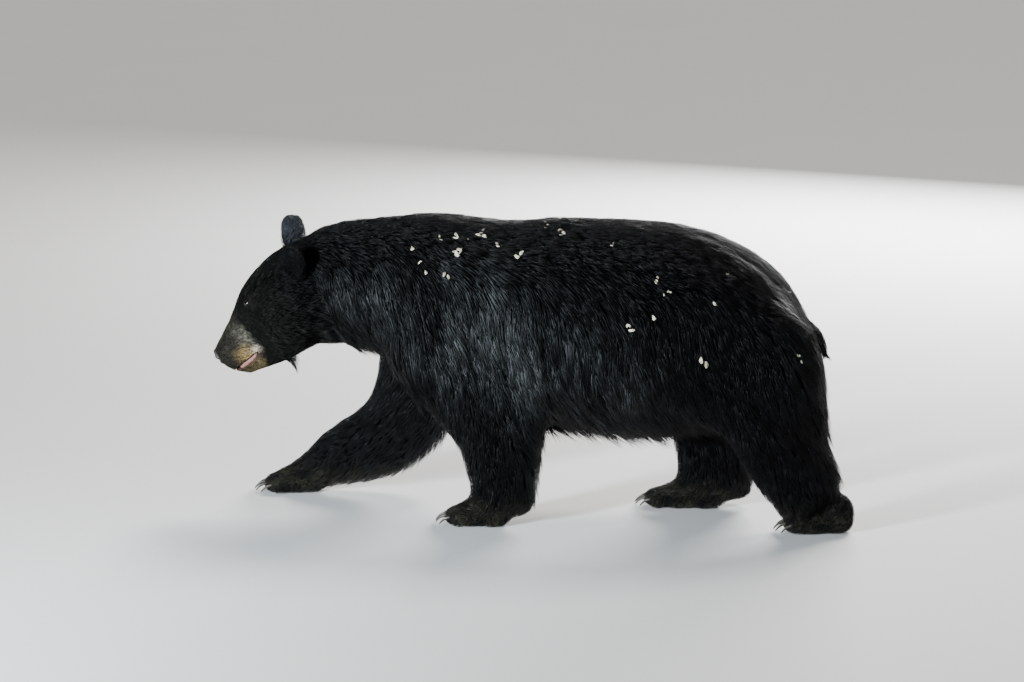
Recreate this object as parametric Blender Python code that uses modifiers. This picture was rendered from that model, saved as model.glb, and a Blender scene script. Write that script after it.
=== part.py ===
"""A walking American black bear as a still, life-size model, in metres, +Z up.

The bear faces -X and its left side is -Y. The origin is on the floor, under the middle of the animal.
Its form is fused from lofts and rounded masses, simplified, and then parted with thin cuts into
head, jaw, nose, ears, neck, trunk, tail, legs and paws. Eyes, tongue and claws are solids of their own.
Every solid reaches to the tips of the coat.
"""

import math

import bmesh
import bpy
from mathutils import Matrix, Vector

# Fineness of the form
GAP = 0.0004  # clearance between solids that meet
TORSO_VOXEL = 0.013
FORM_VOXEL = 0.0055
BODY_TRIANGLES = 2980
FINE_SHARE = 0.78  # how freely the simplifying works on the face, ears and paws
RING_POINTS = 28

# Trunk and neck: x, top of the back, bottom of the belly coat, half width, height of the widest level
TRUNK = (
    (-0.60, 0.640, 0.440, 0.075, 0.550),
    (-0.54, 0.688, 0.413, 0.108, 0.555),
    (-0.46, 0.713, 0.406, 0.136, 0.555),
    (-0.37, 0.722, 0.394, 0.160, 0.545),
    (-0.27, 0.734, 0.350, 0.188, 0.515),
    (-0.18, 0.732, 0.280, 0.204, 0.480),
    (-0.07, 0.719, 0.236, 0.214, 0.450),
    (0.05, 0.728, 0.214, 0.226, 0.430),
    (0.20, 0.728, 0.201, 0.236, 0.420),
    (0.32, 0.720, 0.201, 0.236, 0.425),
    (0.42, 0.700, 0.220, 0.226, 0.435),
    (0.51, 0.661, 0.250, 0.206, 0.435),
    (0.58, 0.611, 0.290, 0.178, 0.430),
    (0.635, 0.550, 0.335, 0.130, 0.425),
    (0.662, 0.485, 0.380, 0.070, 0.425),
)

# Limbs: x, distance from the midline, height, half depth in the side view, half thickness across
LEFT_FORELEG = (
    (-0.235, 0.105, 0.530, 0.120, 0.090),
    (-0.205, 0.135, 0.430, 0.125, 0.085),
    (-0.130, 0.142, 0.325, 0.112, 0.080),
    (-0.074, 0.142, 0.245, 0.104, 0.076),
    (-0.060, 0.140, 0.165, 0.096, 0.070),
    (-0.058, 0.136, 0.090, 0.082, 0.063),
    (-0.062, 0.132, 0.030, 0.074, 0.056),
)
RIGHT_FORELEG = (
    (-0.240, 0.105, 0.510, 0.120, 0.090),
    (-0.282, 0.135, 0.400, 0.112, 0.084),
    (-0.300, 0.142, 0.290, 0.104, 0.080),
    (-0.328, 0.142, 0.196, 0.106, 0.078),
    (-0.402, 0.140, 0.134, 0.098, 0.072),
    (-0.468, 0.138, 0.106, 0.085, 0.064),
    (-0.522, 0.136, 0.080, 0.071, 0.058),
    (-0.564, 0.132, 0.054, 0.050, 0.053),
)
LEFT_HINDLEG = (
    (0.480, 0.090, 0.480, 0.135, 0.100),
    (0.550, 0.118, 0.400, 0.160, 0.108),
    (0.591, 0.132, 0.290, 0.132, 0.096),
    (0.620, 0.136, 0.200, 0.109, 0.078),
    (0.658, 0.134, 0.128, 0.096, 0.066),
    (0.709, 0.132, 0.077, 0.087, 0.058),
)
RIGHT_HINDLEG = (
    (0.475, 0.090, 0.480, 0.135, 0.100),
    (0.470, 0.116, 0.400, 0.160, 0.108),
    (0.444, 0.118, 0.280, 0.124, 0.092),
    (0.436, 0.110, 0.180, 0.100, 0.076),
    (0.440, 0.100, 0.100, 0.094, 0.064),
    (0.442, 0.096, 0.020, 0.094, 0.058),
)

# Head, in its own frame: s runs back from the nose tip, t runs up, y runs across
NOSE_TIP = Vector((-0.786, 0.018, 0.373))
HEAD_PITCH = math.radians(38)
HEAD_YAW = math.radians(-3)  # the muzzle swings a little to the right
HEAD_ROLL = math.radians(8)  # the crown tips a little to the left
HEAD = (
    # s, top, bottom, half width, widest level
    (0.000, 0.006, -0.026, 0.014, -0.012),
    (0.006, 0.013, -0.046, 0.026, -0.020),
    (0.018, 0.018, -0.064, 0.034, -0.030),
    (0.034, 0.025, -0.081, 0.040, -0.038),
    (0.055, 0.035, -0.093, 0.044, -0.042),
    (0.085, 0.049, -0.103, 0.049, -0.044),
    (0.115, 0.066, -0.113, 0.060, -0.044),
    (0.145, 0.085, -0.120, 0.080, -0.042),
    (0.175, 0.098, -0.125, 0.098, -0.036),
    (0.215, 0.108, -0.129, 0.114, -0.026),
    (0.260, 0.113, -0.131, 0.122, -0.018),
    (0.305, 0.111, -0.129, 0.121, -0.012),
    (0.350, 0.099, -0.120, 0.108, -0.008),
    (0.395, 0.068, -0.088, 0.078, -0.008),
)
EYE_SPOT = (0.167, 0.058, 0.060)  # s, distance from the midline, t of the eyeball's centre
EYE_RADIUS = 0.0105
EYE_SOCKET_RADIUS = 0.0145
EYE_LOOK = Vector((-0.45, 0.75, 0.50)).normalized()  # the way an eye faces, y away from the midline
EAR_HEIGHT = 0.090
EAR_WIDTH = 0.075
EAR_DEPTH = 0.040
# Each ear: base (s, distance from the midline, t), direction of its tip, direction it opens to
LEFT_EAR = (Vector((0.306, -0.104, 0.052)), Vector((0.15, -0.42, 1.0)), Vector((-0.45, -1.0, 0.0)))
RIGHT_EAR = (Vector((0.303, 0.080, 0.075)), Vector((-0.12, 0.22, 1.0)), Vector((-0.75, 0.75, 0.0)))

# Mouth: a slot between the lips that closes at its corner; s and t of its middle line
MOUTH_FRONT = (-0.004, -0.060)
MOUTH_CORNER = (0.100, -0.058)
MOUTH_GAPE = 0.011

# Paws
FORE_TOE_PITCH = 0.0205
HIND_TOE_PITCH = 0.0185
TOE_RADIUS = 0.0150
TOE_LEVEL = 0.0200  # height of a toe's middle
TOE_HALF_HEIGHT = 0.0245
TOE_LENGTH = 0.026  # from the middle of a toe to its tip
CLAW_LENGTH = 0.036
CLAW_RADIUS = 0.0046
CLAW_SOCKET = 0.012  # how deep a claw's root sits in its toe
CLAW_SIDES = 5
CLAW_BEND = 1.12  # radians from root to tip
FLOOR_DEPTH = 0.2  # the block that cuts the soles flat reaches this far down

# Tail: x, height, radius
TAIL = (
    (0.600, 0.482, 0.042),
    (0.660, 0.470, 0.036),
    (0.692, 0.438, 0.026),
    (0.714, 0.404, 0.012),
)

# Where the body is parted
LEG_ZONES = {
    # centre, radii and lean of the rounded zone that holds each leg
    "foreleg_left": ((-0.135, -0.205, 0.150), (0.215, 0.165, 0.330), 8),
    "foreleg_right": ((-0.430, 0.205, 0.180), (0.500, 0.178, 0.232), -32),
    "hindleg_left": ((0.620, -0.215, 0.190), (0.215, 0.175, 0.370), -20),
    "hindleg_right": ((0.410, 0.205, 0.170), (0.230, 0.185, 0.350), 6),
}
NECK_BACK = (Vector((-0.365, 0, 0.550)), -6)  # a point on the plane and its lean
HEAD_BACK = (Vector((-0.515, 0, 0.540)), -17)
FRONT_REACH = 0.7
TAIL_ZONE = (Vector((0.680, 0, 0.446)), (0.085, 0.046, 0.086))
NOSE_ZONE = (Vector((-0.003, 0, -0.010)), (0.022, 0.032, 0.026))  # in the head's frame
PAW_ZONE = (0.5, 0.24, 0.3)  # sizes of the block that holds a paw

COLOURS = {
    "coat": ((0.012, 0.012, 0.014, 1.0), 0.55),
    "muzzle": ((0.060, 0.045, 0.032, 1.0), 0.65),
    "nose_skin": ((0.018, 0.016, 0.016, 1.0), 0.40),
    "eye": ((0.020, 0.010, 0.006, 1.0), 0.08),
    "tongue": ((0.520, 0.250, 0.250, 1.0), 0.40),
    "claw": ((0.045, 0.038, 0.034, 1.0), 0.35),
}


# ---------------------------------------------------------------- tools


def clear_scene():
    for old in list(bpy.data.objects):
        bpy.data.objects.remove(old)


def material(name):
    colour, roughness = COLOURS[name]
    made = bpy.data.materials.get(name)
    if made is None:
        made = bpy.data.materials.new(name)
        made.use_nodes = True
        shader = made.node_tree.nodes["Principled BSDF"]
        shader.inputs["Base Color"].default_value = colour
        shader.inputs["Roughness"].default_value = roughness
        shader.inputs["Metallic"].default_value = 0.0
    return made


def between(stations, steps):
    """More stations on the smooth curve (Catmull-Rom) through these ones."""
    rows = [Vector(row) for row in stations]
    rows = [2 * rows[0] - rows[1], *rows, 2 * rows[-1] - rows[-2]]
    found = []
    for a, b, c, d in zip(rows, rows[1:], rows[2:], rows[3:]):
        for k in range(steps):
            u = k / steps
            found.append(
                0.5 * (2 * b + (c - a) * u + (2 * a - 5 * b + 4 * c - d) * u**2)
                + 0.5 * (3 * b - a - 3 * c + d) * u**3
            )
    return [*found, rows[-2]]


def loft(rings):
    """One closed mesh through rings of equally many points, in order, with fans at both ends."""
    mesh = bmesh.new()
    loops = [[mesh.verts.new(p) for p in ring] for ring in rings]
    for one, two in zip(loops, loops[1:]):
        for i in range(len(one)):
            j = (i + 1) % len(one)
            mesh.faces.new((one[i], one[j], two[j], two[i]))
    for loop in (loops[0], loops[-1]):
        middle = mesh.verts.new(sum((v.co for v in loop), Vector()) / len(loop))
        for i in range(len(loop)):
            mesh.faces.new((loop[i], loop[(i + 1) % len(loop)], middle))
    bmesh.ops.recalc_face_normals(mesh, faces=mesh.faces)
    return mesh


def oval(half_width, up, down, squareness=2.0):
    """(across, height) pairs of an egg-shaped ring, with its widest level at height 0."""
    pairs = []
    for i in range(RING_POINTS):
        angle = math.tau * i / RING_POINTS
        c, s = math.cos(angle), math.sin(angle)
        across = math.copysign(abs(c) ** (2 / squareness), c) * half_width
        height = math.copysign(abs(s) ** (2 / squareness), s) * (up if s > 0 else down)
        pairs.append((across, height))
    return pairs


def limb(stations, side, steps=4):
    """A tapering leg. side is -1 for the left and 1 for the right."""
    rows = between(stations, steps)
    centres = [Vector((x, side * y, z)) for x, y, z, _, _ in rows]
    rings = []
    for i, centre in enumerate(centres):
        along = centres[min(i + 1, len(centres) - 1)] - centres[max(i - 1, 0)]
        depth = along.cross(Vector((0, 1, 0))).normalized()
        across = depth.cross(along).normalized()
        half_depth, half_thickness = rows[i][3], rows[i][4]
        ring = oval(half_thickness, half_depth, half_depth, 2.2)
        rings.append([centre + across * a + depth * h for a, h in ring])
    return loft(rings)


def mass(centre, radii, turn=Matrix.Identity(4), segments=24):
    """A rounded mass: a sphere scaled to its radii."""
    mesh = bmesh.new()
    place = Matrix.Translation(centre) @ turn @ Matrix.Diagonal((*radii, 1))
    rings = segments * 2 // 3
    bmesh.ops.create_uvsphere(mesh, u_segments=segments, v_segments=rings, radius=1.0, matrix=place)
    return mesh


def block(centre, sizes, turn=Matrix.Identity(4)):
    """A box of these full sizes about its centre."""
    mesh = bmesh.new()
    place = Matrix.Translation(centre) @ turn @ Matrix.Diagonal((*sizes, 1))
    bmesh.ops.create_cube(mesh, size=1.0, matrix=place)
    return mesh


def joined(meshes):
    """Several bmeshes as one, each left as a closed shell of its own."""
    whole = bmesh.new()
    for mesh in meshes:
        held = bpy.data.meshes.new("held")
        mesh.to_mesh(held)
        mesh.free()
        whole.from_mesh(held)
        bpy.data.meshes.remove(held)
    return whole


def new_object(name, mesh, collection):
    data = bpy.data.meshes.new(name)
    mesh.to_mesh(data)
    mesh.free()
    made = bpy.data.objects.new(name, data)
    collection.objects.link(made)
    return made


def apply_modifiers(obj):
    bpy.context.view_layer.update()
    graph = bpy.context.evaluated_depsgraph_get()
    data = bpy.data.meshes.new_from_object(obj.evaluated_get(graph))
    data.name = obj.name
    obj.modifiers.clear()
    obj.data = data


def fused(name, meshes, voxel, smoothing, collection):
    """The meshes run together into one skin, with their joints smoothed over."""
    obj = new_object(name, joined(meshes), collection)
    remesh = obj.modifiers.new("Fuse", "REMESH")
    remesh.mode = "VOXEL"
    remesh.voxel_size = voxel
    smooth = obj.modifiers.new("Blend", "SMOOTH")
    smooth.factor = 0.5
    smooth.iterations = smoothing
    apply_modifiers(obj)
    return obj


def cut(obj, cutter, operation="DIFFERENCE"):
    """Cuts obj with a helper object, or keeps what lies inside it, and applies that."""
    step = obj.modifiers.new("Cut", "BOOLEAN")
    step.operation = operation
    step.object = cutter
    apply_modifiers(obj)


def part_off(obj, name, zone, collection, cutters):
    """Moves what lies inside a zone from obj to a new object, with a thin gap between the two.

    zone(grow) gives the zone's mesh, grown outwards by grow.
    """
    taken = bpy.data.objects.new(name, obj.data.copy())
    collection.objects.link(taken)
    inner = as_cutter(name + "_inside", zone(-GAP / 2), cutters)
    outer = as_cutter(name + "_outside", zone(GAP / 2), cutters)
    cut(taken, inner, "INTERSECT")
    cut(obj, outer)
    return taken


def as_cutter(name, mesh, cutters):
    made = new_object("cutter_" + name, mesh, cutters)
    made.hide_render = True
    made.display_type = "WIRE"
    return made


# ---------------------------------------------------------------- the form


def head_frame():
    """Carries the head's own s, y, t to the bear's frame."""
    yaw = Matrix.Rotation(HEAD_YAW, 4, "Z")
    pitch = Matrix.Rotation(-HEAD_PITCH, 4, "Y")
    roll = Matrix.Rotation(HEAD_ROLL, 4, "X")
    return Matrix.Translation(NOSE_TIP) @ yaw @ pitch @ roll


def on_head(s, y, t):
    return head_frame() @ Vector((s, y, t))


def head_turn():
    return head_frame().to_3x3().to_4x4()


def trunk_mesh():
    rings = []
    for x, top, bottom, half_width, level in between(TRUNK, 4):
        ring = oval(half_width, top - level, level - bottom, 2.25)
        rings.append([Vector((x, y, level + z)) for y, z in ring])
    return loft(rings)


def head_mesh():
    rings = []
    for s, top, bottom, half_width, level in between(HEAD, 3):
        square = 2.5 if s < 0.1 else 2.2
        ring = oval(half_width, top - level, level - bottom, square)
        rings.append([on_head(s, y, level + t) for y, t in ring])
    return loft(rings)


def torso_masses():
    """The muscles that stand out from the trunk: chest, rump, withers, shoulders and haunches."""
    found = [
        mass((-0.360, 0, 0.500), (0.100, 0.115, 0.110)),
        mass((0.470, 0, 0.490), (0.175, 0.190, 0.160)),
        mass((-0.230, 0, 0.662), (0.110, 0.080, 0.072)),
    ]
    for side in (-1, 1):
        lean = Matrix.Rotation(math.radians(18), 4, "Y")
        found.append(mass((-0.225, side * 0.135, 0.485), (0.115, 0.075, 0.190), lean))
        found.append(mass((0.500, side * 0.125, 0.400), (0.155, 0.100, 0.170)))
    return found


def face_masses():
    """Brows, cheeks, jowls and the pads that carry the whiskers."""
    turn = head_turn()
    found = []
    for side in (-1, 1):
        found.append(mass(on_head(0.198, side * 0.050, 0.074), (0.034, 0.022, 0.013), turn))
        found.append(mass(on_head(0.222, side * 0.062, -0.046), (0.086, 0.057, 0.072), turn))
        found.append(mass(on_head(0.046, side * 0.024, -0.034), (0.034, 0.022, 0.024), turn))
    found.append(mass(on_head(0.062, 0, -0.077), (0.034, 0.033, 0.018), turn))
    found.append(mass(on_head(0.012, 0, -0.012), (0.016, 0.028, 0.022), turn))
    return found


def ear_place(ear):
    """From the ear's own frame, X across it, Y out of its opening and Z to its tip, to the bear's."""
    base, tip, opening = ear
    tip = tip.normalized()
    opening = (opening - tip * opening.dot(tip)).normalized()
    turn = Matrix((opening.cross(tip), opening, tip)).transposed().to_4x4()
    return Matrix.Translation(on_head(*base)) @ turn


def ear_mesh(ear):
    """A rounded ear that is broad and blunt at its tip."""
    mesh = mass((0, 0, 0), (1, 1, 1))
    for vertex in mesh.verts:
        wide, high = abs(vertex.co.x), max(vertex.co.z, 0.0)
        if wide > 0.001 and high > 0:
            blunt = math.hypot(wide, high) / (wide**2.8 + high**2.8) ** (1 / 2.8)
            vertex.co.x *= blunt
            vertex.co.z *= blunt
    radii = (EAR_WIDTH / 2, EAR_DEPTH / 2, EAR_HEIGHT * 0.58)
    middle = Matrix.Translation((0, 0, EAR_HEIGHT * 0.42))
    mesh.transform(ear_place(ear) @ middle @ Matrix.Diagonal((*radii, 1)))
    return mesh


def ear_hollow(ear):
    """The cup of the ear, to be cut out of it."""
    place = ear_place(ear)
    radii = (EAR_WIDTH * 0.35, EAR_DEPTH * 0.40, EAR_HEIGHT * 0.40)
    return mass(place @ Vector((0, EAR_DEPTH * 0.50, EAR_HEIGHT * 0.46)), radii, place.to_3x3().to_4x4(), 12)


def tail_mesh():
    rows = between(TAIL, 3)
    rings = []
    for i, (x, z, radius) in enumerate(rows):
        ahead, behind = rows[min(i + 1, len(rows) - 1)], rows[max(i - 1, 0)]
        along = Vector((ahead[0] - behind[0], 0, ahead[1] - behind[1]))
        up = along.cross(Vector((0, 1, 0))).normalized()
        ring = oval(radius, radius * 0.8, radius * 0.8)
        rings.append([Vector((x, a, z)) + up * h for a, h in ring])
    return loft(rings)


class Paw:
    """One paw: where it stands, which way it points, and its toes and claws."""

    def __init__(self, name, side, toe_x, y, length, pitch, toe_in, cut_height, cut_lean):
        self.name = name
        self.length = length
        self.pitch = pitch
        self.cut_height = cut_height
        self.cut_lean = cut_lean
        turn = Matrix.Rotation(math.radians(toe_in) * side, 4, "Z")
        self.place = Matrix.Translation((toe_x, side * y, 0)) @ turn

    def toe(self, i):
        """The middle of a toe. i runs from -2 to 2 across the paw; local +X points back to the heel."""
        return Vector((0.020 + 0.0045 * i * i, i * self.pitch, TOE_LEVEL))

    def form(self):
        turn = self.place.to_3x3().to_4x4()
        width = self.pitch * 2 + TOE_RADIUS
        back = self.length
        parts = [
            mass(self.place @ Vector((back * 0.42, 0, 0.020)), (back * 0.34, width, 0.026), turn),
            mass(self.place @ Vector((back * 0.70, 0, 0.022)), (back * 0.30, width * 0.84, 0.030), turn),
            mass(self.place @ Vector((back * 0.50, 0, 0.040)), (back * 0.34, width * 0.66, 0.026), turn),
            mass(self.place @ Vector((back * 0.72, 0, 0.050)), (back * 0.29, width * 0.84, 0.052), turn),
        ]
        for i in range(-2, 3):
            sizes = (TOE_LENGTH, TOE_RADIUS * 0.86, TOE_HALF_HEIGHT)
            parts.append(mass(self.place @ self.toe(i), sizes, turn))
        return parts

    def zone(self, grow):
        """All below the wrist or hock."""
        lean = Matrix.Rotation(self.cut_lean, 4, "Y")
        middle = self.place @ Vector((self.length * 0.5, 0, self.cut_height))
        down = lean @ Vector((0, 0, grow - PAW_ZONE[2] / 2))
        return block(middle + down, PAW_ZONE, lean)

    def claw(self, i, grow=0.0):
        """One curved claw, from its root in the toe to its tip just off the floor."""
        root = self.toe(i) + Vector((CLAW_SOCKET - TOE_LENGTH, 0, 0.0040))
        rings = []
        steps = 3
        for k in range(steps + 1):
            u = k / steps
            bend = u * CLAW_BEND
            centre = root + Vector((-math.sin(bend), 0, math.cos(bend) - 1)) * CLAW_LENGTH * 0.92
            across = Vector((0, 1, 0))
            up = Vector((-math.sin(bend), 0, math.cos(bend)))
            radius = CLAW_RADIUS * (1 - 0.78 * u**1.4) + grow
            ring = []
            for m in range(CLAW_SIDES):
                angle = math.tau * m / CLAW_SIDES
                ring.append(
                    self.place
                    @ (centre + across * math.cos(angle) * radius * 0.8 + up * math.sin(angle) * radius)
                )
            rings.append(ring)
        return loft(rings)


PAWS = (
    Paw("forepaw_left", -1, -0.200, 0.132, 0.165, FORE_TOE_PITCH, 6, 0.072, 0.0),
    Paw("forepaw_right", 1, -0.690, 0.132, 0.160, FORE_TOE_PITCH, 6, 0.072, math.radians(28)),
    Paw("hindpaw_left", -1, 0.618, 0.130, 0.172, HIND_TOE_PITCH, -4, 0.078, math.radians(-14)),
    Paw("hindpaw_right", 1, 0.268, 0.092, 0.205, HIND_TOE_PITCH, -4, 0.078, 0.0),
)


def body_form(work):
    """The whole animal as one skin, out to the tips of its coat."""
    torso_parts = [
        trunk_mesh(),
        limb(LEFT_FORELEG, -1),
        limb(RIGHT_FORELEG, 1),
        limb(LEFT_HINDLEG, -1),
        limb(RIGHT_HINDLEG, 1),
        *torso_masses(),
    ]
    torso = fused("torso_form", torso_parts, TORSO_VOXEL, 10, work)
    whole = bmesh.new()
    whole.from_mesh(torso.data)
    parts = [whole, head_mesh(), *face_masses(), tail_mesh(), ear_mesh(LEFT_EAR), ear_mesh(RIGHT_EAR)]
    for paw in PAWS:
        parts.extend(paw.form())
    bpy.data.objects.remove(torso)
    return fused("trunk", parts, FORM_VOXEL, 5, work)


def simplify(obj, triangles):
    """Fewer faces, kept finer on the face, ears and paws."""
    group = obj.vertex_groups.new(name="coarse")
    ears = [ear_place(ear) @ Vector((0, 0, EAR_HEIGHT / 2)) for ear in (LEFT_EAR, RIGHT_EAR)]
    for v in obj.data.vertices:
        near_ear = min((v.co - ear).length for ear in ears) < EAR_HEIGHT * 0.7
        fine = near_ear or v.co.z < 0.07 or v.co.x < -0.60
        group.add([v.index], FINE_SHARE if fine else 1.0, "REPLACE")
    decimate = obj.modifiers.new("Simplify", "DECIMATE")
    decimate.ratio = triangles / (2 * len(obj.data.polygons))
    decimate.use_collapse_triangulate = True
    decimate.vertex_group = "coarse"
    decimate.vertex_group_factor = 1.0
    apply_modifiers(obj)
    obj.vertex_groups.clear()


# ---------------------------------------------------------------- where it is parted


def leg_zone(centre, radii, lean):
    """A function that gives the rounded zone that holds one leg."""

    def zone(grow):
        turn = Matrix.Rotation(math.radians(lean), 4, "Y")
        return mass(centre, [r + grow for r in radii], turn, 18)

    return zone


def front_zone(middle, lean):
    """A function that gives all in front of a leaning plane through a point on the midline."""

    def zone(grow):
        turn = Matrix.Rotation(math.radians(lean), 4, "Y")
        return block(middle + turn @ Vector((grow - FRONT_REACH / 2, 0, 0)), [FRONT_REACH] * 3, turn)

    return zone


def ear_zone(ear):
    """A function that gives the rounded zone that holds one ear."""

    def zone(grow):
        place = ear_place(ear)
        radii = (EAR_WIDTH * 0.60 + grow, EAR_DEPTH * 0.72 + grow, EAR_HEIGHT * 0.56 + grow)
        return mass(place @ Vector((0, 0, EAR_HEIGHT * 0.54)), radii, place.to_3x3().to_4x4(), 12)

    return zone


def tail_zone(grow):
    middle, radii = TAIL_ZONE
    return mass(middle, [r + grow for r in radii], segments=14)


def nose_zone(grow):
    middle, radii = NOSE_ZONE
    return mass(on_head(*middle), [r + grow for r in radii], head_turn(), 14)


def mouth_frame():
    """X runs back along the mouth from its front to its corner."""
    front, corner = Vector((MOUTH_FRONT[0], 0, MOUTH_FRONT[1])), Vector((MOUTH_CORNER[0], 0, MOUTH_CORNER[1]))
    along = (corner - front).normalized()
    turn = Matrix.Rotation(-math.atan2(along.z, along.x), 4, "Y")
    return head_frame() @ Matrix.Translation(front) @ turn, (corner - front).length


def mouth_slot():
    """The open mouth: a wedge between the lips, widest at the front."""
    place, length = mouth_frame()
    rings = []
    for u in (-0.2, 0.25, 0.6, 0.85, 1.0):
        half = MOUTH_GAPE / 2 * (1.0 if u < 0.3 else math.sqrt(max(1.02 - u, 0.02)))
        rings.append([place @ Vector((u * length, y, t)) for y, t in
                      ((-0.07, -half), (0.07, -half), (0.07, half), (-0.07, half))])
    return loft(rings)


def jaw_zone(grow):
    """All of the head below the mouth's middle line, back to just behind its corner."""
    place, length = mouth_frame()
    reach = length * 1.22
    turn = place.to_3x3().to_4x4()
    depth = 0.12
    middle = place @ Vector((reach / 2 - 0.02, 0, -depth / 2 + grow))
    return block(middle, (reach + 0.04 + 2 * grow, 0.2, depth), turn)


def add_eyes(head, part, cutters):
    """Each eyeball sits in a wider hollow, so that it shows all round."""
    for name, side in (("eye_left", -1), ("eye_right", 1)):
        spot = on_head(EYE_SPOT[0], side * EYE_SPOT[1], EYE_SPOT[2])
        look = head_turn() @ Vector((EYE_LOOK.x, side * EYE_LOOK.y, EYE_LOOK.z))
        socket = mass(spot + look * 0.007, [EYE_SOCKET_RADIUS] * 3, head_turn(), 12)
        cut(head, as_cutter(name + "_socket", socket, cutters))
        bed = mass(spot, [EYE_RADIUS + GAP * 1.5] * 3, head_turn(), 12)
        cut(head, as_cutter(name + "_bed", bed, cutters))
        new_object(name, mass(spot, [EYE_RADIUS] * 3, head_turn(), 12), part)


def add_tongue(part):
    """The tongue lies in the mouth slot, a little short of the lips."""
    place, length = mouth_frame()
    turn = place.to_3x3().to_4x4()
    new_object("tongue", mass(place @ Vector((length * 0.62, 0, 0)), (0.030, 0.030, 0.0028), turn, 12), part)


def centre_on_floor(part):
    """Moves the whole animal so that the middle of its box, seen from above, is the origin."""
    points = [v.co for obj in part.objects for v in obj.data.vertices]
    low = [min(p[k] for p in points) for k in range(2)]
    high = [max(p[k] for p in points) for k in range(2)]
    shift = Vector((-(low[0] + high[0]) / 2, -(low[1] + high[1]) / 2, 0))
    for obj in part.objects:
        obj.data.transform(Matrix.Translation(shift))


def main():
    clear_scene()
    part = bpy.data.collections.new("black_bear")
    work = bpy.data.collections.new("cutters")
    bpy.context.scene.collection.children.link(part)
    bpy.context.scene.collection.children.link(work)

    trunk = body_form(work)
    simplify(trunk, BODY_TRIANGLES)
    part.objects.link(trunk)
    work.objects.unlink(trunk)
    floor = as_cutter("floor", block((0, 0, -FLOOR_DEPTH / 2), (2.4, 1.2, FLOOR_DEPTH)), work)
    cut(trunk, floor)

    for name, ear in (("ear_left", LEFT_EAR), ("ear_right", RIGHT_EAR)):
        piece = part_off(trunk, name, ear_zone(ear), part, work)
        cut(piece, as_cutter(name + "_hollow", ear_hollow(ear), work))
    for paw in PAWS:
        piece = part_off(trunk, paw.name, paw.zone, part, work)
        sockets = joined([paw.claw(i, GAP) for i in range(-2, 3)])
        cut(piece, as_cutter(paw.name + "_claws", sockets, work))
        for i in range(-2, 3):
            new_object(paw.name + "_claw_" + str(i + 3), paw.claw(i), part)
    for name, place in LEG_ZONES.items():
        part_off(trunk, name, leg_zone(*place), part, work)
    part_off(trunk, "tail", tail_zone, part, work)
    neck = part_off(trunk, "neck", front_zone(*NECK_BACK), part, work)
    head = part_off(neck, "head", front_zone(*HEAD_BACK), part, work)
    part_off(head, "nose", nose_zone, part, work)
    cut(head, as_cutter("mouth", mouth_slot(), work))
    part_off(head, "jaw", jaw_zone, part, work)
    add_eyes(head, part, work)
    add_tongue(part)

    centre_on_floor(part)
    finishes = {"nose": "nose_skin", "jaw": "muzzle", "tongue": "tongue"}
    for obj in part.objects:
        kind = finishes.get(obj.name, "coat")
        if "claw" in obj.name:
            kind = "claw"
        if obj.name.startswith("eye"):
            kind = "eye"
        obj.data.materials.clear()
        obj.data.materials.append(material(kind))


main()
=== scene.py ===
"""Looks of the walking American black bear: one skin, a coat of solid tufts, and what shows bare.

The bear faces -X, its left side is -Y, and the floor is at height 0. Lengths are in metres.
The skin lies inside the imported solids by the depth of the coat, and the tufts fill that depth.
"""

from math import cos, pi, radians, sin, sqrt, tau

import bmesh
import bpy
import numpy as np
from mathutils import Matrix, Vector
from mathutils.bvhtree import BVHTree
from mathutils.kdtree import KDTree


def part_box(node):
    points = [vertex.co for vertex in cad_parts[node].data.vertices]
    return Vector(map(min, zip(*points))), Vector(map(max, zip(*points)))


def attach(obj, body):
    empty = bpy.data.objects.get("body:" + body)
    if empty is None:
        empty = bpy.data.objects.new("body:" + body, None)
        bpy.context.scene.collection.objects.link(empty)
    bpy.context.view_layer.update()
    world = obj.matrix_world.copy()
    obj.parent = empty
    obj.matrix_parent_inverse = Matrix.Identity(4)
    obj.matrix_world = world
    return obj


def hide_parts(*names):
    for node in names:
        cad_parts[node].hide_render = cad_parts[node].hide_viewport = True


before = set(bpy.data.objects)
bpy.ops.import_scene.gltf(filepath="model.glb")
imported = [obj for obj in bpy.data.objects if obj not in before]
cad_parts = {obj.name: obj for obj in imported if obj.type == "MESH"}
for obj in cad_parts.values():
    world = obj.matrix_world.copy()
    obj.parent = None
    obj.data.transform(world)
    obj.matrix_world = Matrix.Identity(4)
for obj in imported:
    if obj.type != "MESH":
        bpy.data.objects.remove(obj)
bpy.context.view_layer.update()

LEGS = ("foreleg_left", "foreleg_right", "hindleg_left", "hindleg_right")
PAWS = ("forepaw_left", "forepaw_right", "hindpaw_left", "hindpaw_right")
EARS = ("ear_left", "ear_right")
FLESH = ("head", "jaw", "neck", "trunk", "tail", *EARS, *LEGS, *PAWS)
CLAWS = [f"{paw}_claw_{i}" for paw in PAWS for i in range(1, 6)]
SEED = 11

# The head's own frame: s runs back from the nose tip, y across, t up
HEAD_TURN = (
    Matrix.Rotation(radians(-3), 3, "Z")
    @ Matrix.Rotation(radians(-38), 3, "Y")
    @ Matrix.Rotation(radians(8), 3, "X")
)
HEAD_ZONE = (-0.5, 0.25)  # the head lies before this x and above this height
EYES_FROM_NOSE = Vector((0.167, 0, 0.06))
EYE_LOOK = (-0.45, 0.75, 0.5)  # in the head's frame, y away from the midline
EYE_RADIUS = 0.0105
EYE_MOUND = (0.0185, 0.0165, 0.0122)  # radii of the lids' swelling, back, up and out of the eye
EYE_OPENING = (0.009, 0.0056, 0.0046)  # half width, and how far the lids open above and below
MUZZLE_END = 0.116  # s where the pale muzzle gives way to the black face

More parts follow.
